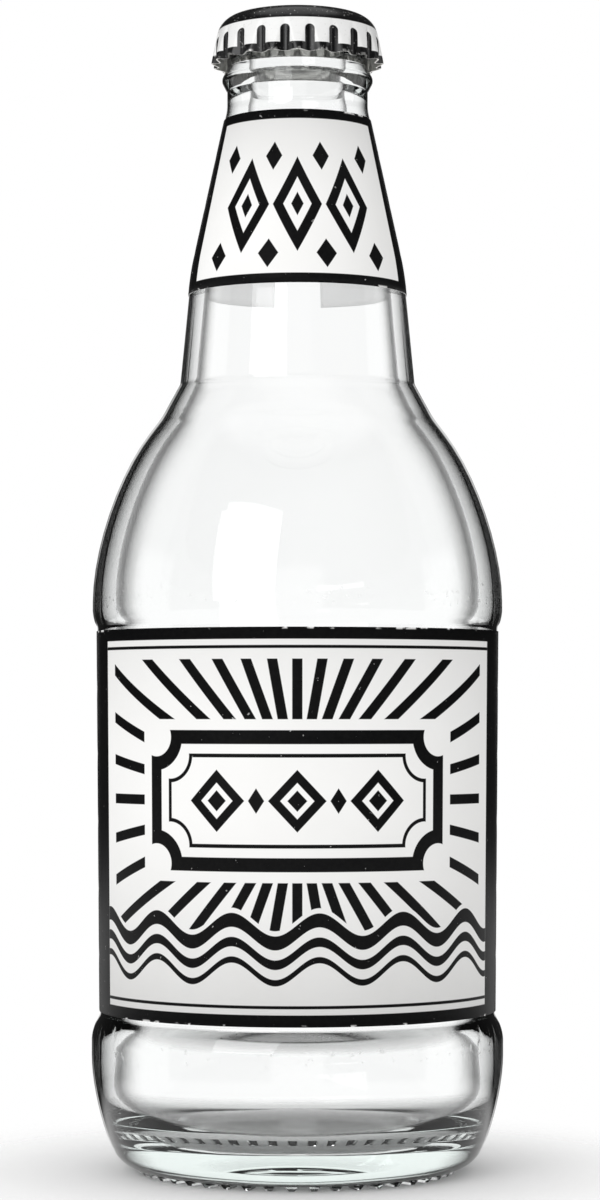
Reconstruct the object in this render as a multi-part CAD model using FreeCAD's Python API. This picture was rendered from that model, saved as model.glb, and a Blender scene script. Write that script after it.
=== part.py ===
# Glass soda bottle with a pressed crown cap, a paper neck label and a paper body label.
# Millimetres. +Z is up, the front faces -Y, and the origin is on the axis at the foot of the bottle.
import FreeCAD
import Part
import math
import os

# Base of the bottle, which stands on a ring of short moulded knurls
KNURL_COUNT = 46
KNURL_HEIGHT = 0.7
KNURL_WIDTH = 1.7
KNURL_LENGTH = 2.4
KNURL_DRAFT = 0.45
BEARING_RING_INSET = 9.1
BEARING_RING_WIDTH = 3.6
BEARING_RING_ROUNDING = 1.6
PUSH_UP_HEIGHT = 5.4
PUSH_UP_FLAT_RADIUS = 11.0
PUSH_UP_ROUNDING = 26.0

# Heel and body
BODY_RADIUS = 34.0
HEEL_CORNER_INSET = 5.0
HEEL_CORNER_ROUNDING = 4.8
HEEL_CORNER_TO_SWEEP = 10.1
HEEL_SWEEP_ROUNDING = 36.5
SWEEP_TO_HEEL_RIM = 12.4
RIM_ROUNDING = 6.0

# Label panel, set back into the body so that the paper does not rub
PANEL_STEP_HEIGHT = 2.6
PANEL_HEIGHT = 63.8
PANEL_RECESS_AT_HEEL = 1.3
PANEL_RECESS_AT_SHOULDER = 0.7
PANEL_ROUNDING = 1.2
SHOULDER_STEP_HEIGHT = 1.8

# Shoulder and neck
PANEL_TO_SHOULDER_CORNER = 19.7
SHOULDER_ROUNDING = 46.0
SHOULDER_SLOPE_HEIGHT = 15.3
SHOULDER_FOOT_HEIGHT = 5.5
SHOULDER_FOOT_SPREAD = 3.0
SHOULDER_FOOT_ROUNDING = 14.0
NECK_ROOT_RADIUS = 19.5
NECK_ROOT_ROUNDING = 1.2
NECK_LOWER_HEIGHT = 18.8
NECK_BELLY_RADIUS = 17.8
NECK_BELLY_ROUNDING = 42.0
NECK_CONE_HEIGHT = 27.4
NECK_TOP_RADIUS = 11.8
NECK_TOP_ROUNDING = 7.0

# Crown finish at the mouth: bead, locking ring and lip
NECK_COLLAR_HEIGHT = 3.0
BEAD_HEIGHT = 3.8
BEAD_PROJECTION = 1.0
BEAD_ROUNDING = 1.2
BEAD_FOOT_ROUNDING = 0.6
GRIP_HEIGHT = 2.2
RING_UNDERCUT_HEIGHT = 1.0
RING_PROJECTION = 1.2
RING_ROUNDING = 0.9
RING_LAND_HEIGHT = 2.4
LIP_SHOULDER_HEIGHT = 2.3
LIP_SETBACK = 2.0
LIP_ROUNDING = 1.1

# Inside of the bottle
WALL = 2.5
BASE_THICKNESS = 4.2
INNER_HEEL_ROUNDING = 9.0
BORE_RADIUS = 8.0
BORE_LENGTH = 14.5
BORE_ROUNDING = 20.0

# Crown cap: a shell of tinplate pressed into flutes, with a moulded liner
FLUTE_COUNT = 21
FLUTE_DEPTH = 1.1
FLUTE_RIDGE_ROUNDING = 1.25
CROWN_SHEET = 0.25
CROWN_FLARE_ANGLE = 12.0
CROWN_SHOULDER_ROUNDING = 3.6
CROWN_SKIRT_BELOW_LIP = 7.0
CROWN_GRIP_CLEARANCE = 0.15
LINER_SEAL_THICKNESS = 0.6
LINER_WEB_THICKNESS = 0.35
LINER_PAST_LIP = 1.0
LINER_PAST_BORE = 0.6
LINER_SEAT_CLEARANCE = 0.1
LINER_BOND = 0.02

# Paper labels, glued on and cut short of meeting at the back
PAPER = 0.1
GLUE = 0.03
BODY_LABEL_EDGE_MARGIN = 0.6
NECK_LABEL_TOP_MARGIN = 1.9
NECK_LABEL_BELOW_BELLY = 3.8
LABEL_BACK_GAP = 9.0

# Room given to shapes that only cut or clip others, and the shortest edge worth drawing
CUT_ROOM = 5.0
SHORTEST_EDGE = 1e-6

# Heights worked out from the sizes above, from the foot up
RING_Z = KNURL_HEIGHT
SWEEP_Z = RING_Z + HEEL_CORNER_TO_SWEEP
HEEL_RIM_Z = SWEEP_Z + SWEEP_TO_HEEL_RIM
PANEL_BOTTOM_Z = HEEL_RIM_Z + PANEL_STEP_HEIGHT
PANEL_TOP_Z = PANEL_BOTTOM_Z + PANEL_HEIGHT
SHOULDER_RIM_Z = PANEL_TOP_Z + SHOULDER_STEP_HEIGHT
SHOULDER_CORNER_Z = PANEL_TOP_Z + PANEL_TO_SHOULDER_CORNER
SHOULDER_FOOT_Z = SHOULDER_CORNER_Z + SHOULDER_SLOPE_HEIGHT
NECK_ROOT_Z = SHOULDER_FOOT_Z + SHOULDER_FOOT_HEIGHT
NECK_BELLY_Z = NECK_ROOT_Z + NECK_LOWER_HEIGHT
NECK_TOP_Z = NECK_BELLY_Z + NECK_CONE_HEIGHT
BEAD_BOTTOM_Z = NECK_TOP_Z + NECK_COLLAR_HEIGHT
BEAD_TOP_Z = BEAD_BOTTOM_Z + BEAD_HEIGHT
UNDERCUT_Z = BEAD_TOP_Z + GRIP_HEIGHT
RING_BOTTOM_Z = UNDERCUT_Z + RING_UNDERCUT_HEIGHT
RING_TOP_Z = RING_BOTTOM_Z + RING_LAND_HEIGHT
LIP_Z = RING_TOP_Z + LIP_SHOULDER_HEIGHT
FLOOR_Z = RING_Z + PUSH_UP_HEIGHT + BASE_THICKNESS

# Radii worked out from the sizes above
BEARING_RING_RADIUS = BODY_RADIUS - BEARING_RING_INSET
HEEL_CORNER_RADIUS = BODY_RADIUS - HEEL_CORNER_INSET
PANEL_LOW_RADIUS = BODY_RADIUS - PANEL_RECESS_AT_HEEL
PANEL_HIGH_RADIUS = BODY_RADIUS - PANEL_RECESS_AT_SHOULDER
SHOULDER_FOOT_RADIUS = NECK_ROOT_RADIUS + SHOULDER_FOOT_SPREAD
LOCKING_RING_RADIUS = NECK_TOP_RADIUS + RING_PROJECTION
LIP_RADIUS = LOCKING_RING_RADIUS - LIP_SETBACK
CAVITY_RADIUS = min(PANEL_LOW_RADIUS, PANEL_HIGH_RADIUS) - WALL
FLUTE_VALLEY_RADIUS = LOCKING_RING_RADIUS + CROWN_GRIP_CLEARANCE + CROWN_SHEET
FLUTE_RIDGE_RADIUS = FLUTE_VALLEY_RADIUS + FLUTE_DEPTH


def point(radius, height):
    return FreeCAD.Vector(radius, 0, height)


def rounded_edges(corners):
    """Lines through (radius, height, rounding) corners, with a tangent arc at each rounded corner."""
    points = [point(radius, height) for radius, height, rounding in corners]
    last = len(points) - 1
    half_turn = [0.0] * len(points)
    reach = [0.0] * len(points)
    for i in range(1, last):
        back = points[i - 1] - points[i]
        ahead = points[i + 1] - points[i]
        half_turn[i] = (math.pi - back.getAngle(ahead)) / 2
        reach[i] = corners[i][2] * math.tan(half_turn[i])
    # An arc is kept short enough to end on both of its lines
    share = [1.0] * len(points)
    for i in range(last):
        wanted = reach[i] + reach[i + 1]
        room = (points[i + 1] - points[i]).Length
        if wanted > room:
            share[i] = min(share[i], room / wanted)
            share[i + 1] = min(share[i + 1], room / wanted)
    reach = [length * part for length, part in zip(reach, share)]

    edges = []
    pen = points[0]
    for i in range(1, last + 1):
        back = (points[i - 1] - points[i]).normalize()
        line_end = points[i] + back * reach[i]
        if (line_end - pen).Length > SHORTEST_EDGE:
            edges.append(Part.LineSegment(pen, line_end).toShape())
            pen = line_end
        if reach[i] > 0:
            ahead = (points[i + 1] - points[i]).normalize()
            radius = reach[i] / math.tan(half_turn[i])
            sagitta = radius / math.cos(half_turn[i]) - radius
            middle = points[i] + (back + ahead).normalize() * sagitta
            arc_end = points[i] + ahead * reach[i]
            edges.append(Part.Arc(pen, middle, arc_end).toShape())
            pen = arc_end
    return edges


def closed_face(corners):
    """Face inside the rounded corners, closed by a straight line from the last corner to the first."""
    edges = rounded_edges(corners)
    first = point(corners[0][0], corners[0][1])
    last = point(corners[-1][0], corners[-1][1])
    edges.append(Part.LineSegment(last, first).toShape())
    return Part.Face(Part.Wire(edges))


def offset_corners(corners, distance):
    """The same outline, drawn from low to high, moved outwards by distance. Roundings follow."""
    points = [point(radius, height) for radius, height, rounding in corners]
    along = [(b - a).normalize() for a, b in zip(points, points[1:])]
    outward = [FreeCAD.Vector(d.z, 0, -d.x) for d in along]
    moved = []
    for i, corner in enumerate(corners):
        if i == 0:
            place, rounding = points[i] + outward[i] * distance, corner[2]
        elif i == len(corners) - 1:
            place, rounding = points[i] + outward[i - 1] * distance, corner[2]
        else:
            mean = outward[i - 1] + outward[i]
            place = points[i] + mean * (2 * distance / mean.dot(mean))
            bulges = along[i - 1].x * along[i].z - along[i - 1].z * along[i].x > 0
            rounding = corner[2] + (distance if bulges else -distance)
        moved.append((place.x, place.z, rounding))
    return moved


def turned(face, angle=360.0, start=0.0):
    """Solid of revolution about the bottle's axis, from start on through angle, in degrees."""
    solid = face.revolve(FreeCAD.Vector(0, 0, 0), FreeCAD.Vector(0, 0, 1), angle)
    solid.rotate(FreeCAD.Vector(0, 0, 0), FreeCAD.Vector(0, 0, 1), start)
    return solid


def around(shape, count):
    """Copies of the shape spaced evenly about the axis."""
    copies = []
    for i in range(count):
        copy = shape.copy()
        copy.rotate(FreeCAD.Vector(0, 0, 0), FreeCAD.Vector(0, 0, 1), 360.0 * i / count)
        copies.append(copy)
    return copies


def base_corners():
    """Underside of the bottle, from the axis out to the bearing ring."""
    ring_inner = BEARING_RING_RADIUS - BEARING_RING_WIDTH / 2
    return [
        (0, RING_Z + PUSH_UP_HEIGHT, 0),
        (PUSH_UP_FLAT_RADIUS, RING_Z + PUSH_UP_HEIGHT, PUSH_UP_ROUNDING),
        (ring_inner, RING_Z, BEARING_RING_ROUNDING),
    ]


def body_corners():
    """Heel, label panel and shoulder, from the foot up to the root of the neck."""
    return [
        (HEEL_CORNER_RADIUS, RING_Z, HEEL_CORNER_ROUNDING),
        (BODY_RADIUS, SWEEP_Z, HEEL_SWEEP_ROUNDING),
        (BODY_RADIUS, HEEL_RIM_Z, RIM_ROUNDING),
        (PANEL_LOW_RADIUS, PANEL_BOTTOM_Z, PANEL_ROUNDING),
        (PANEL_HIGH_RADIUS, PANEL_TOP_Z, PANEL_ROUNDING),
        (BODY_RADIUS, SHOULDER_RIM_Z, RIM_ROUNDING),
        (BODY_RADIUS, SHOULDER_CORNER_Z, SHOULDER_ROUNDING),
        (SHOULDER_FOOT_RADIUS, SHOULDER_FOOT_Z, SHOULDER_FOOT_ROUNDING),
    ]


def neck_corners():
    """Neck, from its root on the shoulder up to the collar below the bead."""
    return [
        (NECK_ROOT_RADIUS, NECK_ROOT_Z, NECK_ROOT_ROUNDING),
        (NECK_BELLY_RADIUS, NECK_BELLY_Z, NECK_BELLY_ROUNDING),
        (NECK_TOP_RADIUS, NECK_TOP_Z, NECK_TOP_ROUNDING),
    ]


def finish_corners():
    """Crown finish, from the bead over the locking ring and the lip to the edge of the bore."""
    return [
        (NECK_TOP_RADIUS, BEAD_BOTTOM_Z, BEAD_FOOT_ROUNDING),
        (NECK_TOP_RADIUS + BEAD_PROJECTION, BEAD_BOTTOM_Z + BEAD_HEIGHT / 2, BEAD_ROUNDING),
        (NECK_TOP_RADIUS, BEAD_TOP_Z, BEAD_FOOT_ROUNDING),
        (NECK_TOP_RADIUS, UNDERCUT_Z, RING_ROUNDING),
        (LOCKING_RING_RADIUS, RING_BOTTOM_Z, RING_ROUNDING),
        (LOCKING_RING_RADIUS, RING_TOP_Z, RING_ROUNDING),
        (LIP_RADIUS, LIP_Z, LIP_ROUNDING),
        (BORE_RADIUS, LIP_Z, LIP_ROUNDING),
    ]


def cavity_corners():
    """Inside of the bottle, from the bore down to the floor on the axis."""
    outside = body_corners()[-2:] + neck_corners()
    shoulder, foot, root, belly, _ = offset_corners(outside, -WALL)
    spread = (shoulder[0] - foot[0]) / (foot[1] - shoulder[1])
    shoulder_z = foot[1] - (CAVITY_RADIUS - foot[0]) / spread
    return [
        (BORE_RADIUS, LIP_Z - BORE_LENGTH, BORE_ROUNDING),
        belly,
        root,
        foot,
        (CAVITY_RADIUS, shoulder_z, SHOULDER_ROUNDING - WALL),
        (CAVITY_RADIUS, RING_Z + BASE_THICKNESS, INNER_HEEL_ROUNDING),
        (0, FLOOR_Z, 0),
    ]


def make_knurls():
    """Short radial bars with drafted sides and flat tips, sunk as deep in the ring as they stand out."""

    def outline(z):
        narrowing = KNURL_DRAFT * (1 - z / KNURL_HEIGHT)
        half_width = KNURL_WIDTH / 2 - narrowing
        half_length = KNURL_LENGTH / 2 - narrowing
        near = -BEARING_RING_RADIUS - half_length
        far = -BEARING_RING_RADIUS + half_length
        left_near = FreeCAD.Vector(-half_width, near, z)
        right_near = FreeCAD.Vector(half_width, near, z)
        right_far = FreeCAD.Vector(half_width, far, z)
        left_far = FreeCAD.Vector(-half_width, far, z)
        return Part.makePolygon([left_near, right_near, right_far, left_far, left_near])

    bar = Part.makeLoft([outline(0), outline(2 * KNURL_HEIGHT)], True, True)
    return around(bar, KNURL_COUNT)


def make_glass_bottle():
    """One piece of blown glass: foot, body, neck, crown finish and the space inside."""
    corners = base_corners() + body_corners() + neck_corners() + finish_corners() + cavity_corners()
    return turned(closed_face(corners)).multiFuse(make_knurls())


def axis_ends(corners):
    """The outline led in square to the axis at both ends, so that it closes into a face."""
    low_radius, low_z, _ = corners[0]
    high_radius, high_z, _ = corners[-1]
    low_end = [(0, low_z, 0), (low_radius, low_z, 0)]
    high_end = [(high_radius, high_z, 0), (0, high_z, 0)]
    return low_end + corners[1:-1] + high_end


def label_solid(corners, low_z, high_z):
    """Paper that follows the outline between two heights, open at the back."""
    glued = closed_face(axis_ends(offset_corners(corners, GLUE)))
    printed = closed_face(axis_ends(offset_corners(corners, GLUE + PAPER)))
    reach = max(corner[0] for corner in corners) + CUT_ROOM
    window = closed_face([(0, low_z, 0), (reach, low_z, 0), (reach, high_z, 0), (0, high_z, 0)])
    section = printed.cut(glued).common(window)
    gap_angle = math.degrees(LABEL_BACK_GAP / section.BoundBox.XMax)
    return turned(section, 360.0 - gap_angle, 90.0 + gap_angle / 2)


def make_body_label():
    """Paper label in the recessed panel of the body."""
    panel = [(PANEL_LOW_RADIUS, PANEL_BOTTOM_Z, 0), (PANEL_HIGH_RADIUS, PANEL_TOP_Z, 0)]
    low_z = PANEL_BOTTOM_Z + BODY_LABEL_EDGE_MARGIN
    high_z = PANEL_TOP_Z - BODY_LABEL_EDGE_MARGIN
    return label_solid(panel, low_z, high_z)


def make_neck_label():
    """Paper label round the cone of the neck, down over its belly."""
    low_z = NECK_BELLY_Z - NECK_LABEL_BELOW_BELLY
    high_z = NECK_TOP_Z - NECK_LABEL_TOP_MARGIN
    return label_solid(neck_corners(), low_z, high_z)


def crown_corners():
    """Outside of the crown before it is fluted: top panel, rounded shoulder and flared skirt."""
    top_z = LIP_Z + LINER_SEAT_CLEARANCE + LINER_SEAL_THICKNESS + LINER_BOND + CROWN_SHEET
    hem_z = LIP_Z - CROWN_SKIRT_BELOW_LIP
    flare = (top_z - hem_z) * math.tan(math.radians(CROWN_FLARE_ANGLE))
    return [
        (FLUTE_RIDGE_RADIUS, hem_z, 0),
        (FLUTE_RIDGE_RADIUS - flare, top_z, CROWN_SHOULDER_ROUNDING),
        (0, top_z, 0),
    ]


def fluted_prism(inset, low_z, high_z):
    """Upright prism whose outline waves between the ridges and valleys, drawn in by inset all round."""
    half_pitch = math.pi / FLUTE_COUNT
    ridge_centre = FLUTE_RIDGE_RADIUS - FLUTE_RIDGE_ROUNDING
    across = ridge_centre * math.cos(half_pitch)
    # The valley arc that meets the ridge arcs on both sides without a corner
    valley_rounding = (
        FLUTE_RIDGE_ROUNDING**2 - ridge_centre**2 - FLUTE_VALLEY_RADIUS**2 + 2 * across * FLUTE_VALLEY_RADIUS
    ) / (2 * (FLUTE_VALLEY_RADIUS - across - FLUTE_RIDGE_ROUNDING))
    valley_centre = FLUTE_VALLEY_RADIUS + valley_rounding
    ridge_arc = FLUTE_RIDGE_ROUNDING - inset
    meeting_share = FLUTE_RIDGE_ROUNDING / (FLUTE_RIDGE_ROUNDING + valley_rounding)

    def at(radius, angle):
        return FreeCAD.Vector(radius * math.sin(angle), -radius * math.cos(angle), low_z)

    def meeting(ridge_angle, side):
        ridge = at(ridge_centre, ridge_angle)
        valley = at(valley_centre, ridge_angle + side * half_pitch)
        reach = (valley - ridge).Length * meeting_share - inset
        return ridge + (valley - ridge).normalize() * reach

    edges = []
    for i in range(FLUTE_COUNT):
        ridge_angle = 2 * half_pitch * i
        start, end = meeting(ridge_angle, -1), meeting(ridge_angle, 1)
        edges.append(Part.Arc(start, at(ridge_centre + ridge_arc, ridge_angle), end).toShape())
        valley_floor = at(FLUTE_VALLEY_RADIUS - inset, ridge_angle + half_pitch)
        edges.append(Part.Arc(end, valley_floor, meeting(ridge_angle + 2 * half_pitch, -1)).toShape())
    return Part.Face(Part.Wire(edges)).extrude(FreeCAD.Vector(0, 0, high_z - low_z))


def inner_crown_face(inset, open_end_z):
    """Face inside the crown's sheet, carried down past the hem to open_end_z."""
    inner = offset_corners(crown_corners(), -inset)
    hem_radius = inner[0][0]
    return closed_face([(0, open_end_z, 0), (hem_radius, open_end_z, 0)] + inner)


def make_crown_shell():
    """Tinplate crown, the same sheet thickness over the top panel and through every flute."""
    outer = crown_corners()
    hem_z, top_z = outer[0][1], outer[1][1]
    below, above = hem_z - CUT_ROOM, top_z + CUT_ROOM
    pressed = turned(closed_face([(0, hem_z, 0)] + outer)).common(fluted_prism(0.0, below, above))
    hollow = turned(inner_crown_face(CROWN_SHEET, below)).common(fluted_prism(CROWN_SHEET, below, above))
    return pressed.cut(hollow)


def make_cap_liner():
    """Moulded liner under the top panel: a thin web with a thicker sealing ring over the lip."""
    under_top = inner_crown_face(CROWN_SHEET + LINER_BOND, LIP_Z)
    top_z = under_top.BoundBox.ZMax
    seal_z, web_z = top_z - LINER_SEAL_THICKNESS, top_z - LINER_WEB_THICKNESS
    draft = web_z - seal_z
    seal_inner_radius = BORE_RADIUS + LINER_PAST_BORE
    liner_radius = LIP_RADIUS + LINER_PAST_LIP
    section = [
        (0, web_z, 0),
        (seal_inner_radius - draft, web_z, draft),
        (seal_inner_radius, seal_z, draft),
        (liner_radius, seal_z, 0),
        (liner_radius, top_z + CUT_ROOM, 0),
        (0, top_z + CUT_ROOM, 0),
    ]
    return turned(under_top.common(closed_face(section)))


def export_node(name, shape):
    """Writes one piece to parts/."""
    shape.exportStep(os.path.join("parts", name + ".step"))
    print(f"{name}: {len(shape.Solids)} solid, {shape.Volume / 1000:.2f} ml, valid {shape.isValid()}")


os.makedirs("parts", exist_ok=True)
export_node("glass_bottle", make_glass_bottle())
export_node("body_label", make_body_label())
export_node("neck_label", make_neck_label())
export_node("crown_shell", make_crown_shell())
export_node("cap_liner", make_cap_liner())
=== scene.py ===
import bmesh
import bpy
import math
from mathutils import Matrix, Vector


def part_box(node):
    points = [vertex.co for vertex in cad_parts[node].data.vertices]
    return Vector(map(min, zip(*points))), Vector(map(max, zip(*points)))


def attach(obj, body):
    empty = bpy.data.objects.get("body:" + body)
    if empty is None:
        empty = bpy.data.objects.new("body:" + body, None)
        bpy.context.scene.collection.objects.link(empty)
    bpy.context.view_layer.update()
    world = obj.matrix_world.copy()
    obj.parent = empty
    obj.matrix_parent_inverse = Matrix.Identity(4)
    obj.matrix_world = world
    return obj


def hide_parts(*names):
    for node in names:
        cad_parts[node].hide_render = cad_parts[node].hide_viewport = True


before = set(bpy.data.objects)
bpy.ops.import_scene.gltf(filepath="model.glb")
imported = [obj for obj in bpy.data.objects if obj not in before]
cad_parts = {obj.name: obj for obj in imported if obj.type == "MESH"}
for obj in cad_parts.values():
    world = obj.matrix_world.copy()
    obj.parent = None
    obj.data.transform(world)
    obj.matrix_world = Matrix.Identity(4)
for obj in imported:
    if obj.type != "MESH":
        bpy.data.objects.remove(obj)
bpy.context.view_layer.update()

# Glass bottle: one piece of clear soda-lime glass, blown in a two-part iron mould and annealed.
# It stands on a ring of short moulded knurls round a push-up, its label panel is set back between two
# rims, and its mouth has a bead, a locking ring and a lip for a crown cap.
MM = 0.001
glass_low, glass_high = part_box("glass_bottle")
panel_label_low, panel_label_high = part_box("body_label")
neck_label_low, neck_label_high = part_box("neck_label")
body_radius = glass_high.x
wall = 2.5 * MM
base_thickness = 4.2 * MM
knurl_count = 46
knurl_height = 0.7 * MM
knurl_draft = 0.45 * MM
faces_per_knurl = 6
faces_on_knurl = 3
ring_z = glass_low.z + knurl_height
ring_inner_radius = 23.1 * MM
ring_inner_rounding = 1.6 * MM
ring_outer_radius = body_radius - 5.0 * MM
ring_outer_rounding = 4.8 * MM
push_up_z = ring_z + 5.4 * MM
push_up_radius = 11.0 * MM
push_up_rounding = 26.0 * MM
heel_z = ring_z + 10.1 * MM
heel_rounding = 36.5 * MM
label_margin = 0.6 * MM
panel_low_z = panel_label_low.z - label_margin
panel_high_z = panel_label_high.z + label_margin
panel_low_radius = body_radius - 1.3 * MM
panel_high_radius = body_radius - 0.7 * MM
panel_rounding = 1.2 * MM
low_rim_z = panel_low_z - 2.6 * MM
high_rim_z = panel_high_z + 1.8 * MM
rim_rounding = 6.0 * MM
shoulder_z = panel_high_z + 19.7 * MM
shoulder_rounding = 46.0 * MM
shoulder_top_z = shoulder_z + 15.3 * MM
shoulder_top_radius = 22.5 * MM
shoulder_top_rounding = 14.0 * MM
neck_root_z = shoulder_top_z + 5.5 * MM
neck_root_radius = 19.5 * MM
neck_root_rounding = 1.2 * MM
neck_belly_z = neck_root_z + 18.8 * MM
neck_belly_radius = 17.8 * MM
neck_belly_rounding = 42.0 * MM
neck_top_z = neck_belly_z + 27.4 * MM
neck_top_radius = 11.8 * MM
neck_top_rounding = 7.0 * MM
bead_z = neck_top_z + 3.0 * MM
bead_height = 3.8 * MM
bead_radius = neck_top_radius + 1.0 * MM
bead_rounding = 1.2 * MM
bead_edge_rounding = 0.6 * MM
throat_z = bead_z + 6.0 * MM
locking_ring_low_z = throat_z + 1.0 * MM
locking_ring_high_z = locking_ring_low_z + 2.4 * MM
locking_ring_radius = 13.0 * MM
locking_ring_rounding = 0.9 * MM
lip_z = glass_high.z
lip_radius = locking_ring_radius - 2.0 * MM
lip_rounding = 1.1 * MM
bore_radius = 8.0 * MM
bore_foot_z = lip_z - 14.5 * MM
bore_foot_rounding = 20.0 * MM
cavity_radius = panel_low_radius - wall
cavity_foot_rounding = 9.0 * MM

# Corners of the section as radius, height and rounding: under the foot, up the outside, down the inside.
# The inside corners lie a little below the outside ones, so that leaning walls keep their thickness.
glass_section = [
    (0, push_up_z, 0),
    (push_up_radius, push_up_z, push_up_rounding),
    (ring_inner_radius, ring_z, ring_inner_rounding),
    (ring_outer_radius, ring_z, ring_outer_rounding),
    (body_radius, heel_z, heel_rounding),
    (body_radius, low_rim_z, rim_rounding),
    (panel_low_radius, panel_low_z, panel_rounding),
    (panel_high_radius, panel_high_z, panel_rounding),
    (body_radius, high_rim_z, rim_rounding),
    (body_radius, shoulder_z, shoulder_rounding),
    (shoulder_top_radius, shoulder_top_z, shoulder_top_rounding),
    (neck_root_radius, neck_root_z, neck_root_rounding),
    (neck_belly_radius, neck_belly_z, neck_belly_rounding),
    (neck_top_radius, neck_top_z, neck_top_rounding),
    (neck_top_radius, bead_z, bead_edge_rounding),
    (bead_radius, bead_z + bead_height / 2, bead_rounding),
    (neck_top_radius, bead_z + bead_height, bead_edge_rounding),
    (neck_top_radius, throat_z, locking_ring_rounding),
    (locking_ring_radius, locking_ring_low_z, locking_ring_rounding),
    (locking_ring_radius, locking_ring_high_z, locking_ring_rounding),
    (lip_radius, lip_z, lip_rounding),
    (bore_radius, lip_z, lip_rounding),
    (bore_radius, bore_foot_z, bore_foot_rounding),
    (neck_belly_radius - wall, neck_belly_z - 0.4 * MM, neck_belly_rounding - wall),
    (neck_root_radius - wall, neck_root_z - 0.7 * MM, neck_root_rounding + wall),
    (shoulder_top_radius - wall, shoulder_top_z - 1.5 * MM, shoulder_top_rounding + wall),
    (cavity_radius, shoulder_z - 0.1 * MM, shoulder_rounding - wall),
    (cavity_radius, ring_z + base_thickness, cavity_foot_rounding),
    (0, push_up_z + base_thickness, 0),
]
merge_distance = 0.001 * MM


def rounding_reach(corners):
    """How far each rounding takes up the two lines at its corner, shortened where two would overlap."""
    points = [Vector((radius, 0, height)) for radius, height, rounding in corners]
    roundings = [rounding for radius, height, rounding in corners]
    reach = [0.0] * len(points)
    for i in range(1, len(points) - 1):
        turn = (points[i] - points[i - 1]).angle(points[i + 1] - points[i])
        reach[i] = roundings[i] * math.tan(turn / 2)
    share = [1.0] * len(points)
    for i in range(len(points) - 1):
        room = (points[i + 1] - points[i]).length
        wanted = reach[i] + reach[i + 1]
        if wanted > room:
            share[i] = min(share[i], room / wanted)
            share[i + 1] = min(share[i + 1], room / wanted)
    return [length * part for length, part in zip(reach, share)]


def select_points(piece, chosen):
    """Selects only the points that pass the test, in edit mode."""
    bpy.ops.mesh.select_mode(type="VERT")
    bpy.ops.mesh.select_all(action="DESELECT")
    shape = bmesh.from_edit_mesh(piece.data)
    for point in shape.verts:
        if chosen(point):
            point.select_set(True)
    shape.select_flush(True)
    bmesh.update_edit_mesh(piece.data)


def draw_section(name, corners, segments):
    """Draws a section line corner by corner in the plane of the axis, rounds it and leaves it selected."""
    bpy.ops.object.select_all(action="DESELECT")
    bpy.ops.mesh.primitive_plane_add(size=1.0 * MM)
    piece = bpy.context.object
    piece.name = name
    piece.data.name = name
    bpy.ops.object.mode_set(mode="EDIT")
    bpy.ops.mesh.select_all(action="SELECT")
    bpy.ops.mesh.merge(type="CENTER")
    places = [Vector((radius, 0, height)) for radius, height, rounding in corners]
    bpy.ops.transform.translate(value=places[0])
    for here, there in zip(places, places[1:]):
        bpy.ops.mesh.extrude_region_move(TRANSFORM_OT_translate={"value": there - here})
    for place, reach in zip(places, rounding_reach(corners)):
        if reach > 0:
            select_points(piece, lambda point: (point.co - place).length < merge_distance)
            bpy.ops.mesh.bevel(offset=reach, segments=segments, affect="VERTICES", clamp_overlap=False)
    bpy.ops.mesh.select_all(action="SELECT")
    bpy.ops.mesh.remove_doubles(threshold=merge_distance)
    return piece


def spin_closed(steps):
    """Spins the drawn line once round the axis, closes the seam and the poles and turns the faces out."""
    bpy.ops.mesh.select_all(action="SELECT")
    bpy.ops.mesh.spin(steps=steps, angle=2 * math.pi, center=(0, 0, 0), axis=(0, 0, 1))
    bpy.ops.mesh.select_all(action="SELECT")
    bpy.ops.mesh.remove_doubles(threshold=merge_distance)
    bpy.ops.mesh.normals_make_consistent(inside=False)


bottle = draw_section("bottle_glass", glass_section, segments=10)
spin_steps = knurl_count * faces_per_knurl
spin_closed(spin_steps)

# Knurls: three of every six faces of the bearing ring are pressed down with drafted sides
bpy.ops.mesh.select_mode(type="FACE")
bpy.ops.mesh.select_all(action="DESELECT")
glass_mesh = bmesh.from_edit_mesh(bottle.data)
for face in glass_mesh.faces:
    middle = face.calc_center_median()
    step = math.atan2(middle.y, middle.x) / (2 * math.pi) * spin_steps
    on_ring = face.normal.z < -0.99 and abs(middle.z - ring_z) < 0.05 * MM
    face.select_set(on_ring and math.floor(step) % faces_per_knurl < faces_on_knurl)
bmesh.update_edit_mesh(bottle.data)
bpy.ops.mesh.inset(thickness=knurl_draft, depth=knurl_height)
bpy.ops.transform.resize(value=(1, 1, 0), center_override=(0, 0, glass_low.z))

# Mould seams: one fine ridge down each side of the bare glass, where the two halves of the mould met.
# They lie a little to the front of the sides, so that the ridges stay within the body's width.
seam_height = 0.1 * MM
seam_angle = math.radians(84)
seam_step = 2 * math.pi / spin_steps
seam_spans = [
    (ring_z + 4.0 * MM, panel_low_z - 0.4 * MM),
    (panel_high_z + 0.4 * MM, neck_label_low.z - 1.0 * MM),
]


def on_mould_seam(point):
    """True for the points of the outer surface that the seam ridges run through."""
    outward = Vector((point.co.x, point.co.y, 0)).normalized()
    turn_from_front = math.atan2(abs(point.co.x), -point.co.y)
    return (
        abs(turn_from_front - seam_angle) < seam_step / 2
        and point.normal.dot(outward) > 0.3
        and any(low < point.co.z < high for low, high in seam_spans)
    )


select_points(bottle, on_mould_seam)
bpy.ops.transform.shrink_fatten(value=seam_height)
bpy.ops.object.mode_set(mode="OBJECT")
bpy.ops.object.shade_smooth_by_angle(angle=math.radians(40))


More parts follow.
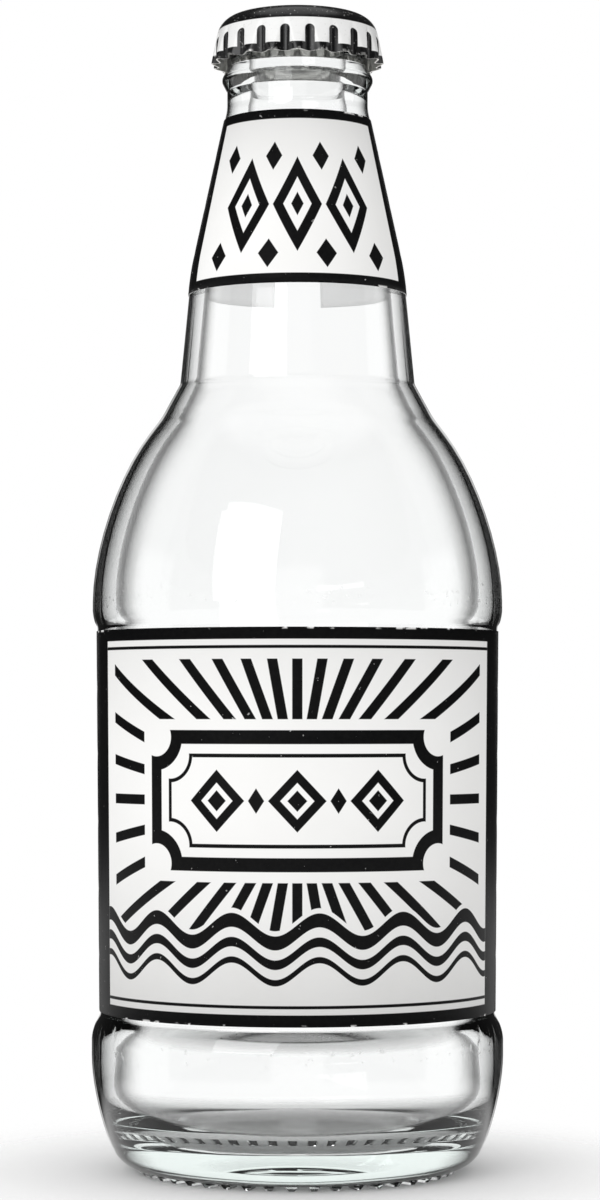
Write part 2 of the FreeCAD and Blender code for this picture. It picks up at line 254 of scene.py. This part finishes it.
class Nodes:
    """Adds nodes to one tree and joins them up. A value is a number, a colour or what a node gives out."""

    def __init__(self, tree):
        self.tree = tree

    def put(self, socket, value):
        if isinstance(value, bpy.types.NodeSocket):
            self.tree.links.new(value, socket)
        else:
            socket.default_value = value

    def math(self, operation, *values):
        node = self.tree.nodes.new("ShaderNodeMath")
        node.operation = operation
        for socket, value in zip(node.inputs, values):
            self.put(socket, value)
        return node.outputs[0]

    def times(self, *values):
        product = values[0]
        for value in values[1:]:
            product = self.math("MULTIPLY", product, value)
        return product

    def length(self, across, upright):
        squares = self.math("ADD", self.math("POWER", across, 2.0), self.math("POWER", upright, 2.0))
        return self.math("SQRT", squares)

    def xyz(self, vector):
        node = self.tree.nodes.new("ShaderNodeSeparateXYZ")
        self.put(node.inputs["Vector"], vector)
        return node.outputs["X"], node.outputs["Y"], node.outputs["Z"]

    def ramp(self, value, start, end, low=0.0, high=1.0):
        """Eases from low to high while the value goes from start to end."""
        node = self.tree.nodes.new("ShaderNodeMapRange")
        node.interpolation_type = "SMOOTHSTEP"
        self.put(node.inputs["Value"], value)
        node.inputs["From Min"].default_value = start
        node.inputs["From Max"].default_value = end
        node.inputs["To Min"].default_value = low
        node.inputs["To Max"].default_value = high
        return node.outputs["Result"]

    def fade(self, value, start, end):
        """Eases from one to nothing while the value goes from start to end."""
        return self.ramp(value, start, end, low=1.0, high=0.0)

    def mix(self, kind, factor, first, second):
        node = self.tree.nodes.new("ShaderNodeMix")
        node.data_type = kind
        self.put(node.inputs["Factor"], factor)
        self.put(node.inputs["A"], first)
        self.put(node.inputs["B"], second)
        return node.outputs["Result"]

    def between(self, factor, first, second):
        """A number that goes from the first to the second as the factor goes from nothing to one."""
        return self.mix("FLOAT", factor, first, second)


class Finish(Nodes):
    """One material, varied over the piece's own coordinates."""

    def __init__(self, name):
        self.material = bpy.data.materials.new(name)
        self.material.use_nodes = True
        super().__init__(self.material.node_tree)
        self.shader = self.tree.nodes["Principled BSDF"]
        self.place = self.tree.nodes.new("ShaderNodeTexCoord").outputs["Object"]

    def give(self, socket, value):
        self.put(self.shader.inputs[socket], value)

    def mottle(self, scale, detail, squeeze=(1, 1, 1)):
        """Cloudy variation about one half, with scale clouds to the metre, fewer along a squeezed axis."""
        squeezed = self.tree.nodes.new("ShaderNodeMapping")
        squeezed.inputs["Scale"].default_value = squeeze
        self.put(squeezed.inputs["Vector"], self.place)
        noise = self.tree.nodes.new("ShaderNodeTexNoise")
        noise.inputs["Scale"].default_value = scale
        noise.inputs["Detail"].default_value = detail
        self.put(noise.inputs["Vector"], squeezed.outputs["Vector"])
        return noise.outputs["Fac"]

    def blend(self, factor, first, second):
        """A colour that goes from the first to the second as the factor goes from nothing to one."""
        return self.mix("RGBA", factor, first, second)

    def relief(self, height):
        """Bumps the surface by a height in millimetres."""
        bump = self.tree.nodes.new("ShaderNodeBump")
        bump.inputs["Distance"].default_value = MM
        self.put(bump.inputs["Height"], height)
        self.give("Normal", bump.outputs["Normal"])


# Clear glass with painted shade where it is seen edge-on, with faint waves from the blowing and with fine
# scuffs on the two rims that rub other bottles
blown_wave_relief = 0.06
scuff_roughness = 0.35
colourless = (1, 1, 1, 1)
painted_edge_shade = (0.002, 0.002, 0.002, 1)
faint_green = (0.80, 0.92, 0.88, 1)
green_density = 12
glass = Finish("clear_bottle_glass")
# Painted shade: the glass colour goes near black where a face is seen edge-on, by the angle of view
slant = glass.tree.nodes.new("ShaderNodeLayerWeight").outputs["Facing"]
edge_on_shade_mask = glass.ramp(slant, 0.45, 0.75)
glass.give("Base Color", glass.blend(edge_on_shade_mask, colourless, painted_edge_shade))
glass.give("Transmission Weight", 1.0)
glass.give("IOR", 1.52)
glass.relief(glass.times(glass.mottle(scale=55, detail=1), blown_wave_relief))
glass_height = glass.xyz(glass.place)[2]


def rubbed_band(low, peak, high):
    """A band round the glass that is rubbed most at its peak and not at all at its edges."""
    return glass.times(glass.ramp(glass_height, low, peak), glass.fade(glass_height, peak, high))


heel_rub = rubbed_band(panel_low_z - 9 * MM, panel_low_z - 4 * MM, panel_low_z - 2 * MM)
shoulder_rub = rubbed_band(panel_high_z + 1 * MM, panel_high_z + 4 * MM, panel_high_z + 10 * MM)
scuffs = glass.ramp(glass.mottle(scale=900, detail=4), 0.56, 0.72)
glass.give("Roughness", glass.times(glass.math("ADD", heel_rub, shoulder_rub), scuffs, scuff_roughness))
tint = glass.tree.nodes.new("ShaderNodeVolumeAbsorption")
tint.inputs["Color"].default_value = faint_green
tint.inputs["Density"].default_value = green_density
glass.put(glass.tree.nodes["Material Output"].inputs["Volume"], tint.outputs["Volume"])
bottle.data.materials.append(glass.material)
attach(bottle, "bottle")
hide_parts("glass_bottle")

# Body label: a strip of white paper printed in black, wrapped round the panel and glued on.
# The front has a sunburst round a ticket and a band of waves, each rear half has a panel, black bands with
# lozenges mark the sides, and the two ends stop a little short of meeting at the back.
paper_thickness = 0.1 * MM
glue_line = 0.03 * MM
paper_stand = paper_thickness + glue_line
label_gap = 9.0 * MM
panel_taper = (panel_high_radius - panel_low_radius) / (panel_high_z - panel_low_z)
label_low_radius = panel_low_radius + panel_taper * label_margin + paper_stand
label_high_radius = panel_high_radius - panel_taper * label_margin + paper_stand
label_mean_radius = (label_low_radius + label_high_radius) / 2
body_label_section = [
    (label_low_radius, panel_label_low.z, 0),
    (label_high_radius, panel_label_high.z, 0),
]
paper_shade = (0.85, 0.846, 0.83, 1)
paper_white = (0.91, 0.908, 0.9, 1)
ink_black = (0.002, 0.002, 0.0025, 1)
ink_grey = (0.009, 0.009, 0.009, 1)


class Printing(Finish):
    """A finish with a print on a turned piece. A shape is a distance in millimetres, negative inside it.

    A value and its limit make a shape with less, more and within, and both and either join two shapes.
    """

    def __init__(self, name, radius, low_z, high_z):
        super().__init__(name)
        x, y, z = self.xyz(self.place)
        self.x = self.times(x, 1 / MM)
        self.y = self.times(y, 1 / MM)
        self.half_height = (high_z - low_z) / 2 / MM
        self.up = self.math("SUBTRACT", self.times(z, 1 / MM), (high_z + low_z) / 2 / MM)
        self.off_middle = self.math("ABSOLUTE", self.up)
        turn = self.math("ARCTAN2", self.x, self.times(self.y, -1.0))
        self.along = self.times(turn, radius / MM)
        quarter_turn = math.pi / 2 * radius / MM
        self.from_side = self.math("SUBTRACT", self.math("ABSOLUTE", self.along), quarter_turn)

    def ink(self, shape):
        """How much ink covers each spot, with a crisp edge."""
        edge = 0.06
        return self.fade(shape, -edge, edge)

    def both(self, first, second):
        return self.math("MAXIMUM", first, second)

    def either(self, first, second):
        return self.math("MINIMUM", first, second)

    def outside(self, shape):
        return self.times(shape, -1.0)

    def less(self, value, limit):
        return self.math("SUBTRACT", value, limit)

    def more(self, value, limit):
        return self.math("SUBTRACT", limit, value)

    def within(self, value, half):
        return self.less(self.math("ABSOLUTE", value), half)

    def line(self, shape, width):
        """A line of that width along the edge of a shape."""
        return self.within(shape, width / 2)

    def repeat(self, value, pitch, start=0.0):
        """The distance from the nearest of a row of places that are a pitch apart."""
        return self.math("WRAP", self.math("SUBTRACT", value, start), pitch / 2, -pitch / 2)

    def lozenge(self, x, y, half_width, half_height):
        slope = half_width * half_height / math.hypot(half_width, half_height)
        across = self.times(self.math("ABSOLUTE", x), 1 / half_width)
        upright = self.times(self.math("ABSOLUTE", y), 1 / half_height)
        return self.times(self.less(self.math("ADD", across, upright), 1.0), slope)

    def ringed_lozenge(self, x, y, half_width, half_height, outline, core):
        """A lozenge drawn as an outline of that width, with a solid one of a core share in its middle."""
        rim = self.less(self.lozenge(x, y, half_width, half_height), -outline / 2)
        middle = self.lozenge(x, y, half_width * core, half_height * core)
        return self.either(self.line(rim, outline), middle)

    def rays(self, x, y, count, width):
        """Straight rays of one width, evenly spaced round a middle."""
        turn = self.repeat(self.math("ARCTAN2", y, x), 2 * math.pi / count)
        off_ray = self.times(self.length(x, y), self.math("SINE", turn))
        return self.within(off_ray, width / 2)

    def ticket(self, x, y, half_width, half_height, scoop):
        """A rectangle with a quarter circle scooped out of each corner."""
        over = self.within(x, half_width)
        above = self.within(y, half_height)
        bite = self.more(self.length(over, above), scoop)
        return self.both(self.both(over, above), bite)


def printed_paper(name, pattern, radius, low_z, high_z):
    """White label paper with a black print, fine fibres, slight cockling and ink chipped at the edges."""
    bare_roughness = 0.62
    inked_roughness = 0.46
    fibre_relief = 0.01
    cockling_relief = 0.12
    sheet = Printing(name, radius, low_z, high_z)
    sheet.give("Specular IOR Level", 0.06)
    fibres = sheet.mottle(scale=1400, detail=6)
    cockling = sheet.mottle(scale=70, detail=2, squeeze=(1, 1, 0.4))
    pinholes = sheet.ramp(fibres, 0.24, 0.30, low=0.6)
    at_edge = sheet.ramp(sheet.off_middle, sheet.half_height - 0.4, sheet.half_height - 0.1)
    chips = sheet.times(at_edge, sheet.ramp(sheet.mottle(scale=400, detail=3), 0.60, 0.66))
    unchipped = sheet.math("SUBTRACT", 1.0, chips)
    ink = sheet.times(sheet.ink(pattern(sheet)), pinholes, unchipped)
    blank = sheet.blend(sheet.mottle(scale=90, detail=3), paper_shade, paper_white)
    black = sheet.blend(fibres, ink_black, ink_grey)
    sheet.give("Base Color", sheet.blend(ink, blank, black))
    sheet.give("Roughness", sheet.between(ink, bare_roughness, inked_roughness))
    fine = sheet.times(fibres, fibre_relief)
    broad = sheet.times(cockling, cockling_relief)
    sheet.relief(sheet.math("ADD", fine, broad))
    return sheet.material


def body_label_pattern(art):
    """Rules, side bands, a ticket in a sunburst, waves and two rear panels. Sizes are in millimetres."""
    rule_width = 1.9
    hairline_inset = 3.1
    edge_rules = art.more(art.off_middle, art.half_height - rule_width)
    hairlines = art.line(art.less(art.off_middle, art.half_height - hairline_inset), width=0.5)

    # Black side bands with a column of white lozenges
    band_half_width = 13.0
    band = art.within(art.from_side, band_half_width)
    column = art.repeat(art.up, pitch=11.0)
    large = art.lozenge(art.from_side, column, half_width=4.0, half_height=5.0)
    small = art.lozenge(art.from_side, column, half_width=1.8, half_height=2.3)
    side_band = art.both(band, art.outside(art.both(large, art.outside(small))))

    # Ticket with a heavy and a fine outline round a row of three lozenges
    ticket_middle = 4.0
    row_pitch = 13.0
    ticket_up = art.less(art.up, ticket_middle)
    ticket = art.ticket(art.along, ticket_up, half_width=24.5, half_height=10.0, scoop=4.2)
    inner_ticket = art.ticket(art.along, ticket_up, half_width=21.6, half_height=7.1, scoop=4.0)
    heavy = art.line(ticket, width=2.2)
    fine = art.line(inner_ticket, width=0.6)
    row = art.repeat(art.along, row_pitch)
    ringed = art.ringed_lozenge(row, ticket_up, half_width=4.6, half_height=4.9, outline=1.4, core=0.34)
    spaces = art.repeat(art.along, row_pitch, start=row_pitch / 2)
    solid = art.lozenge(spaces, ticket_up, half_width=1.3, half_height=2.0)
    lozenges = art.either(
        art.both(ringed, art.within(art.along, row_pitch * 1.5)),
        art.both(solid, art.within(art.along, row_pitch)),
    )

    # Band of three waves along the foot of the label, each with its height and width
    wave_length = 14.0
    wave_rise = 1.8
    swell = art.times(art.math("SINE", art.times(art.along, 2 * math.pi / wave_length)), wave_rise)
    wave_up = art.math("SUBTRACT", art.up, swell)
    waves = []
    for height, width in ((-16.4, 2.2), (-19.8, 1.5), (-22.6, 1.0)):
        waves.append(art.line(art.less(wave_up, height), width))

    # Rays of a sunburst from the ticket's margin out to the field's edge and down to the waves
    margin_half_width = 27.3
    margin_half_height = 12.8
    field_half_width = 36.0
    field_inset = 5.0
    field_foot = -14.5
    sunburst = art.rays(art.along, ticket_up, count=36, width=1.6)
    margin = art.both(art.within(art.along, margin_half_width), art.within(ticket_up, margin_half_height))
    limits = (
        art.outside(margin),
        art.within(art.along, field_half_width),
        art.less(art.up, art.half_height - field_inset),
        art.more(wave_up, field_foot),
    )
    for limit in limits:
        sunburst = art.both(sunburst, limit)

    # A panel with one lozenge on each rear half
    rear_middle = 29.5
    rear = art.less(art.from_side, rear_middle)
    rear_ticket = art.ticket(rear, ticket_up, half_width=12.5, half_height=14.5, scoop=4.2)
    panel = art.line(rear_ticket, width=1.4)
    rear_lozenge = art.ringed_lozenge(
        rear, ticket_up, half_width=4.6, half_height=7.6, outline=1.4, core=0.34
    )

    design = art.either(edge_rules, side_band)
    for shape in (hairlines, heavy, fine, lozenges, *waves, sunburst, panel, rear_lozenge):
        design = art.either(design, art.both(shape, art.outside(band)))
    return design


label_print = printed_paper(
    "printed_body_label", body_label_pattern, label_mean_radius, panel_label_low.z, panel_label_high.z
)

# The bare back of the paper, thin enough to let light through
label_back = Finish("label_paper_back")
clouds = label_back.mottle(scale=160, detail=4)
label_back.give("Base Color", label_back.blend(clouds, paper_shade, paper_white))
label_back.give("Roughness", 0.8)
label_back.give("Subsurface Weight", 1.0)
label_back.give("Subsurface Radius", (1, 1, 1))
label_back.give("Subsurface Scale", 3.0 * MM)


def wrap_paper(name, section, steps, printed_side):
    """Spins a drawn line of paper round the neck or body, open at the back, and gives it its thickness."""
    piece = draw_section(name, section, segments=12)
    gap_angle = label_gap / max(radius for radius, height, rounding in section)
    # Rotate turns clockwise here, so a negative turn takes the line to one edge of the gap, and spin
    # then runs clockwise round the front to the other edge
    to_gap = -(math.pi / 2 - gap_angle / 2)
    bpy.ops.mesh.select_all(action="SELECT")
    bpy.ops.transform.rotate(value=to_gap, orient_axis="Z", center_override=(0, 0, 0))
    bpy.ops.mesh.spin(steps=steps, angle=2 * math.pi - gap_angle, center=(0, 0, 0), axis=(0, 0, 1))
    bpy.ops.mesh.select_all(action="SELECT")
    bpy.ops.mesh.remove_doubles(threshold=merge_distance)
    bpy.ops.mesh.normals_make_consistent(inside=False)
    shape = bmesh.from_edit_mesh(piece.data)
    shape.faces.ensure_lookup_table()
    outward = shape.faces[0].calc_center_median() * Vector((1, 1, 0))
    if shape.faces[0].normal.dot(outward) < 0:
        bpy.ops.mesh.flip_normals()
    bpy.ops.object.mode_set(mode="OBJECT")
    bpy.ops.object.shade_smooth()
    piece.data.materials.append(printed_side)
    piece.data.materials.append(label_back.material)
    thickness = piece.modifiers.new("paper", "SOLIDIFY")
    thickness.thickness = paper_thickness
    thickness.offset = -1
    thickness.material_offset = 1
    thickness.material_offset_rim = 1
    bpy.ops.object.modifier_apply(modifier="paper")
    return piece


body_label = wrap_paper("body_label_paper", body_label_section, steps=240, printed_side=label_print)
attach(body_label, "bottle")
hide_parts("body_label")

# Neck label: a fan-shaped slip of the same paper, wrapped round the cone of the neck and glued on.
# It has black rules at both edges, black side bands, a row of tall outlined lozenges at the front and one
# more on each rear half.
neck_mean_radius = 15.3 * MM
lower_slope = (neck_root_radius - neck_belly_radius) / (neck_belly_z - neck_root_z)
cone_slope = (neck_belly_radius - neck_top_radius) / (neck_top_z - neck_belly_z)
low_edge_radius = neck_belly_radius + lower_slope * (neck_belly_z - neck_label_low.z) + paper_stand
high_edge_radius = neck_top_radius + cone_slope * (neck_top_z - neck_label_high.z) + paper_stand
neck_label_section = [
    (low_edge_radius, neck_label_low.z, 0),
    (neck_belly_radius + paper_stand, neck_belly_z, neck_belly_rounding),
    (high_edge_radius, neck_label_high.z, 0),
]


def neck_label_pattern(art):
    """Rules, side bands and rows of lozenges, with one lozenge on each rear half, in millimetres."""
    rule_width = 1.6
    band_half_width = 6.2
    edge_rules = art.more(art.off_middle, art.half_height - rule_width)
    column = art.repeat(art.up, pitch=8.0)
    side_lozenge = art.lozenge(art.from_side, column, half_width=2.0, half_height=3.2)
    side_band = art.both(art.within(art.from_side, band_half_width), art.outside(side_lozenge))

    # A row of three tall lozenges, with small ones above and below the spaces between them
    row_pitch = 8.4
    row_middle = -1.5
    small_off_row = 8.2
    small_half_span = 15.0
    rear_middle = 13.2
    tall = {"half_width": 3.9, "half_height": 8.0, "outline": 1.5, "core": 0.25}
    row_up = art.less(art.up, row_middle)
    row = art.both(
        art.ringed_lozenge(art.repeat(art.along, row_pitch), row_up, **tall),
        art.within(art.along, row_pitch * 1.5),
    )
    spaces = art.repeat(art.along, row_pitch, start=row_pitch / 2)
    off_row = art.less(art.math("ABSOLUTE", row_up), small_off_row)
    small_rows = art.both(
        art.lozenge(spaces, off_row, half_width=1.5, half_height=2.4),
        art.within(art.along, small_half_span),
    )
    rear_lozenge = art.ringed_lozenge(art.less(art.from_side, rear_middle), row_up, **tall)

    design = art.either(edge_rules, side_band)
    for shape in (row, small_rows, rear_lozenge):
        design = art.either(design, shape)
    return design


neck_print = printed_paper(
    "printed_neck_label", neck_label_pattern, neck_mean_radius, neck_label_low.z, neck_label_high.z
)
neck_label = wrap_paper("neck_label_paper", neck_label_section, steps=160, printed_side=neck_print)
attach(neck_label, "bottle")
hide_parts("neck_label")

# Cap liner: a pale polymer disc moulded into the crown, with a thicker ring that seals on the lip.
# It was pressed while soft, so it has fine mould marks and a slightly waxy surface.
liner_shade = (0.60, 0.62, 0.63, 1)
liner_pale = (0.74, 0.76, 0.76, 1)
mould_mark_relief = 0.01
polymer = Finish("cap_liner_polymer")
mould_marks = polymer.mottle(scale=500, detail=4)
polymer.give("Base Color", polymer.blend(mould_marks, liner_shade, liner_pale))
polymer.give("Roughness", polymer.between(mould_marks, 0.35, 0.55))
polymer.relief(polymer.times(mould_marks, mould_mark_relief))
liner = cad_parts["cap_liner"]
liner.data.materials.clear()
liner.data.materials.append(polymer.material)

# Crown cap: a disc of tinplate, lacquered white and printed black before it was pressed.
# The press drew it into a shallow dome with 21 flutes in the skirt, which is crimped under the
# locking ring; inside, the sheet shows bright tin under a clear lacquer.
crown_low, crown_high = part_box("crown_shell")
sheet_metal = 0.25 * MM
flute_count = 21
faces_per_flute = 16
press_depth = 1.1 * MM
soft_start = 0.12 * MM
ridge_radius = -crown_low.y
valley_radius = ridge_radius - press_depth
unpressed_radius = valley_radius - 1.0 * MM
flare = (crown_high.z - crown_low.z) * math.tan(math.radians(12))
dome_rounding = 3.6 * MM
skirt_top_z = crown_high.z - 2.5 * MM
crown_section = [
    (0, crown_high.z, 0),
    (ridge_radius - flare, crown_high.z, dome_rounding),
    (ridge_radius, crown_low.z, 0),
]
lacquer_shade = (0.82, 0.82, 0.81, 1)
lacquer_white = (0.89, 0.89, 0.885, 1)
lacquer_black = (0.004, 0.004, 0.0045, 1)
worn_tin = (0.60, 0.595, 0.58, 1)
tin_shade = (0.64, 0.63, 0.60, 1)
tin_bright = (0.77, 0.76, 0.73, 1)
crown = draw_section("crown_cap_shell", crown_section, segments=14)
select_points(crown, lambda point: point.co.z < skirt_top_z)
bpy.ops.mesh.subdivide(number_cuts=15)
spin_closed(flute_count * faces_per_flute)
bpy.ops.object.mode_set(mode="OBJECT")

# The flutes: how far each point of the skirt is pressed in, as a weight for the press
pressed = crown.vertex_groups.new(name="pressed_flutes")
for vertex in crown.data.vertices:
    radius = math.hypot(vertex.co.x, vertex.co.y)
    turn = math.atan2(vertex.co.x, -vertex.co.y)
    wave = valley_radius + press_depth * (0.5 + 0.5 * math.cos(flute_count * turn))
    excess = radius - wave
    depth = (excess + math.hypot(excess, soft_start)) / 2
    if radius > unpressed_radius:
        pressed.add([vertex.index], min(depth / press_depth, 1.0), "REPLACE")

# White lacquer with a black shoulder ring, a black hem and a small sun on top, and a black bar in each
# flute valley that is painted shade for the recess.
# Handling has scratched it finely, and along the hem the ridges are worn to the tin. Sizes in millimetres.
bar_length = 3.4
bar_width = 1.7
hem_width = 1.2
shoulder_height = 5.4
top_height = 6.5
top_panel_radius = 9.6
ray_start = 3.8
ray_end = 7.8
sun_radius = 2.3
speckle_relief = 0.004
lacquer = Printing("lacquered_crown_tinplate", ridge_radius, crown_low.z, crown_high.z)
above_hem = lacquer.math("ADD", lacquer.up, lacquer.half_height)
from_axis = lacquer.length(lacquer.x, lacquer.y)
flute_pitch = 2 * math.pi * ridge_radius / MM / flute_count
off_ridge = lacquer.repeat(lacquer.along, flute_pitch)
off_valley = lacquer.repeat(lacquer.along, flute_pitch, start=flute_pitch / 2)
# Painted shade: a black bar from the hem up each flute valley, darkening the recess
bar_end = lacquer.math("MAXIMUM", lacquer.less(above_hem, bar_length), 0.0)
valley_shade_bars = lacquer.less(lacquer.length(off_valley, bar_end), bar_width / 2)
on_shoulder = lacquer.more(above_hem, shoulder_height)
shoulder_ring = lacquer.both(on_shoulder, lacquer.more(from_axis, top_panel_radius))
hem_line = lacquer.less(above_hem, hem_width)
top_rays = lacquer.rays(lacquer.x, lacquer.y, count=12, width=1.1)
ray_span = lacquer.both(lacquer.more(from_axis, ray_start), lacquer.less(from_axis, ray_end))
sun = lacquer.either(lacquer.both(top_rays, ray_span), lacquer.less(from_axis, sun_radius))
print_and_valley_shade = lacquer.both(sun, lacquer.more(above_hem, top_height))
for shape in (valley_shade_bars, shoulder_ring, hem_line):
    print_and_valley_shade = lacquer.either(print_and_valley_shade, shape)
speckle = lacquer.mottle(scale=700, detail=5)
white = lacquer.blend(speckle, lacquer_shade, lacquer_white)
# The black is print, except the bars in the flute valleys, which are painted shade
printed = lacquer.blend(lacquer.ink(print_and_valley_shade), white, lacquer_black)
scratches = lacquer.ramp(lacquer.mottle(scale=3000, detail=1, squeeze=(1, 0.05, 1)), 0.68, 0.74)
hem_rub = lacquer.times(
    lacquer.fade(above_hem, 0.1, 0.4),
    lacquer.fade(lacquer.math("ABSOLUTE", off_ridge), 0.3, 1.1),
    lacquer.ramp(lacquer.mottle(scale=900, detail=3), 0.50, 0.58),
)
worn = lacquer.math("MAXIMUM", lacquer.times(scratches, 0.5), hem_rub)
lacquer.give("Base Color", lacquer.blend(worn, printed, worn_tin))
lacquer.give("Metallic", hem_rub)
lacquer.give("Roughness", lacquer.between(speckle, 0.2, 0.4))
lacquer.give("Coat Weight", 0.2)
lacquer.give("Coat Roughness", 0.12)
lacquer.relief(lacquer.times(speckle, speckle_relief))

tin = Finish("clear_lacquered_tin")
rolled = tin.mottle(scale=600, detail=2)
tin.give("Metallic", 1.0)
tin.give("Base Color", tin.blend(rolled, tin_shade, tin_bright))
tin.give("Roughness", tin.between(rolled, 0.25, 0.45))
crown.data.materials.append(lacquer.material)
crown.data.materials.append(tin.material)
press = crown.modifiers.new("press", "DISPLACE")
press.vertex_group = "pressed_flutes"
press.strength = -press_depth
press.mid_level = 0.0
bpy.ops.object.modifier_apply(modifier="press")
gauge = crown.modifiers.new("sheet", "SOLIDIFY")
gauge.thickness = sheet_metal
gauge.offset = -1
gauge.material_offset = 1
gauge.material_offset_rim = 1
bpy.ops.object.modifier_apply(modifier="sheet")
bpy.ops.object.shade_smooth_by_angle(angle=math.radians(50))
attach(crown, "cap")
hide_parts("crown_shell")

# Studio: a pale floor that fades into a white surround, a large soft lamp and an even white sky.
# Reflections see dark flags between four white windows round the horizon, so that shiny black stays black.
floor_solid = 0.02
floor_end = 0.08
floor_pale = (0.94, 0.94, 0.94, 1)
bpy.ops.object.select_all(action="DESELECT")
bpy.ops.mesh.primitive_circle_add(vertices=128, radius=floor_end, fill_type="NGON")
floor = bpy.context.object
floor.name = "studio_floor"
pale = Finish("pale_floor")
pale.give("Base Color", floor_pale)
pale.give("Roughness", 0.9)
from_middle = pale.length(*pale.xyz(pale.place)[:2])
pale.give("Alpha", pale.fade(from_middle, floor_solid, floor_end))
floor.data.materials.append(pale.material)

# Sky: heights are sines of the angle above the horizon
flag_light = 0.03
even_light = 0.82
window_spacing = math.radians(90)
world = bpy.data.worlds.new("white_surround")
bpy.context.scene.world = world
world.use_nodes = True
sky = Nodes(world.node_tree)
direction = sky.tree.nodes.new("ShaderNodeTexCoord").outputs["Generated"]
sky_x, sky_y, sky_z = sky.xyz(direction)
bearing = sky.math("ARCTAN2", sky_x, sky_y)
off_window = sky.math("ABSOLUTE", sky.math("WRAP", bearing, window_spacing / 2, -window_spacing / 2))
window_sides = sky.fade(off_window, math.radians(12), math.radians(17))
window_tops = sky.fade(sky_z, 0.24, 0.36)
ground = sky.fade(sky_z, -0.25, -0.17)
overhead = sky.ramp(sky_z, 0.80, 0.90)
flags_and_windows = flag_light
for bright in (sky.times(window_sides, window_tops), ground, overhead):
    flags_and_windows = sky.math("MAXIMUM", flags_and_windows, bright)

# Paper and lacquer get even light, reflections show flags and windows, and the camera sees white, also
# through the glass
light = sky.tree.nodes.new("ShaderNodeLightPath").outputs
before_paper = sky.math("LESS_THAN", light["Diffuse Depth"], 0.5)
reflected = sky.times(light["Is Glossy Ray"], before_paper)
through_glass = sky.times(light["Is Transmission Ray"], before_paper)
lit = sky.between(reflected, even_light, flags_and_windows)
sees_white = sky.math("MAXIMUM", light["Is Camera Ray"], through_glass)
background = sky.tree.nodes["Background"]
background.inputs["Color"].default_value = (1, 1, 1, 1)
sky.put(background.inputs["Strength"], sky.between(sees_white, lit, 1.0))

key_place = Vector((-0.38, -0.66, 0.36))
subject = Vector((0, 0, 0.095))
bpy.ops.object.light_add(type="AREA", location=key_place)
key = bpy.context.object
key.name = "soft_key"
key.data.shape = "SQUARE"
key.data.size = 0.5
key.data.energy = 2.2
key.rotation_euler = (subject - key_place).to_track_quat("-Z", "Y").to_euler()

# Camera: level with the label, a little over half a metre away, tilted up two degrees
aside = 0.42 * MM
eye = Vector((aside, -550 * MM, 75.5 * MM))
aim = Vector((aside, 0, 94.3 * MM))
view_height = 200 * MM
camera_data = bpy.data.cameras.new("camera")
camera_data.sensor_fit = "VERTICAL"
camera_data.lens = camera_data.sensor_height * (aim - eye).length / view_height
camera = bpy.data.objects.new("camera", camera_data)
camera.location = eye
camera.rotation_euler = (aim - eye).to_track_quat("-Z", "Y").to_euler()
bpy.context.scene.collection.objects.link(camera)
bpy.context.scene.camera = camera
bpy.context.scene.view_settings.view_transform = "Standard"
